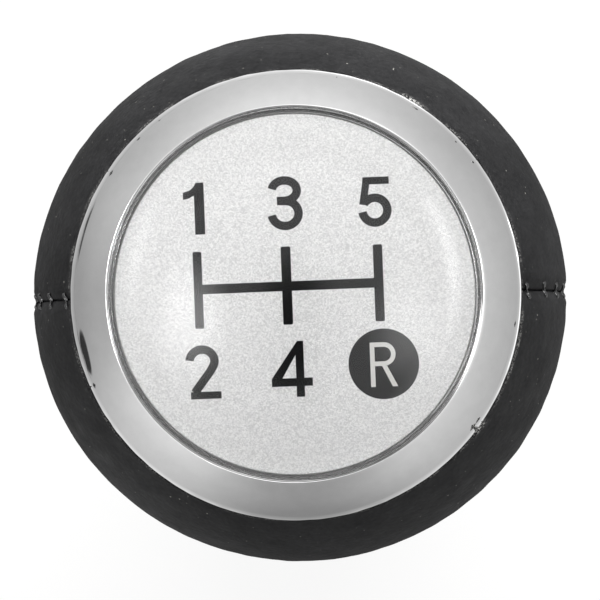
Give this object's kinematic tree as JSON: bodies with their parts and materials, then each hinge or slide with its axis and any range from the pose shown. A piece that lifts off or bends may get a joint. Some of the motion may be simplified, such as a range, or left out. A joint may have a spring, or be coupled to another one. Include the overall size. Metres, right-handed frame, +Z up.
{
  "type": "gear shift knob",
  "caption": "Leather-covered gear shift knob with a sewn seam, a chromed bezel and a domed shift-pattern badge, on a threaded insert for a gear lever.",
  "frame": {"origin": "centre of the flat lower face of the neck collar, where the knob stands and where the lever enters", "axes": "+Z up along the axis of the thread, from the collar to the badge; -Y is the front, towards the driver and the second and fourth gears of the pattern; +X towards the reverse gear's side"},
  "size_m": [0.0498, 0.05, 0.0749],
  "materials": {
    "core_nylon": "glass-filled nylon, as moulded",
    "brass": "turned and knurled",
    "foam": "skinned soft foam",
    "leather": "fine grain, satin, slightly dusty",
    "sewing_thread": "bonded polyester thread with a shine",
    "collar_plastic": "fine satin",
    "cap_plastic": "as moulded",
    "zinc_steel": "bright zinc plated",
    "chrome_plating": "bright chrome on ABS",
    "foam_tape": "double-sided foam tape",
    "silver_paint": "satin silver metallic lacquer",
    "clear_resin": "clear domed resin, high gloss"
  },
  "bodies": {
    "root": {"knob_core": "core_nylon", "threaded_insert": "brass", "foam_padding": "foam", "leather_front": "leather", "leather_rear": "leather", "seam_thread_left": "sewing_thread", "seam_thread_right": "sewing_thread", "neck_collar": "collar_plastic", "badge_cap": "cap_plastic", "cap_screw_1": "zinc_steel", "cap_screw_2": "zinc_steel", "cap_screw_3": "zinc_steel", "chrome_bezel": "chrome_plating", "badge_tape": "foam_tape", "dial_plate": "silver_paint", "badge_lens": "clear_resin"}
  },
  "joints": []
}
